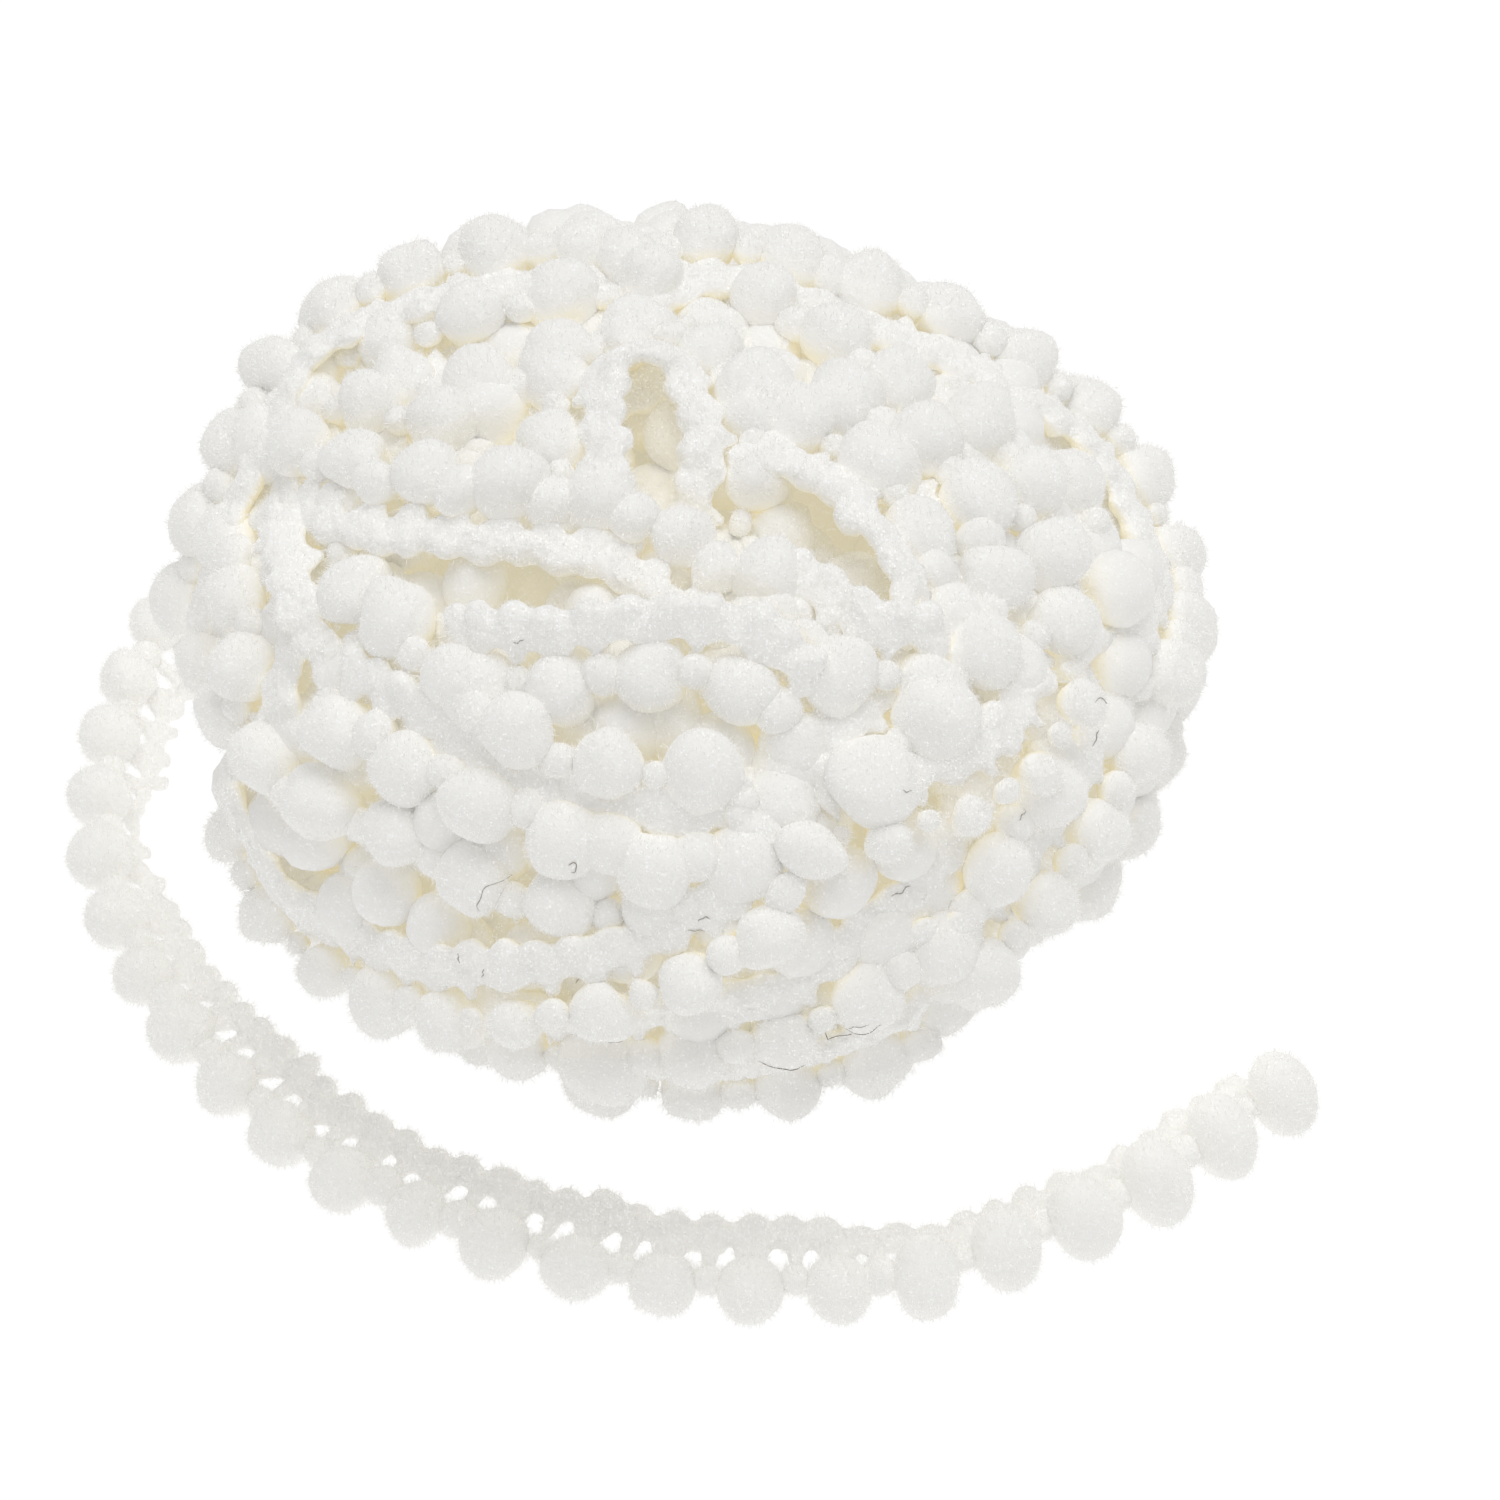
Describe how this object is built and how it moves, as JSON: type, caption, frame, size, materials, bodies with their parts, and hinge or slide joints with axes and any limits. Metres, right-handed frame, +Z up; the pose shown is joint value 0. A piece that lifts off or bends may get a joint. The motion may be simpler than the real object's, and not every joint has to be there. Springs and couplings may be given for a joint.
{
  "type": "pompom fringe trim wound into a ball",
  "caption": "Length of narrow chenille braid edged with small fluffy pompoms, wound into a squat ball with a loose end laid round it.",
  "frame": {"origin": "centre of the flat spot on which the wound ball rests, on the surface", "axes": "+Z up through the hollow of the ball; +X to the side where the loose end stops; -Y to the front, where the loose end passes"},
  "size_m": [0.1271, 0.1134, 0.0719],
  "materials": {
    "chenille": "matt white polyester microfibre chenille with a short soft pile"
  },
  "bodies": {
    "root": {"wound_ball": "chenille", "loose_end": "chenille"}
  },
  "joints": []
}
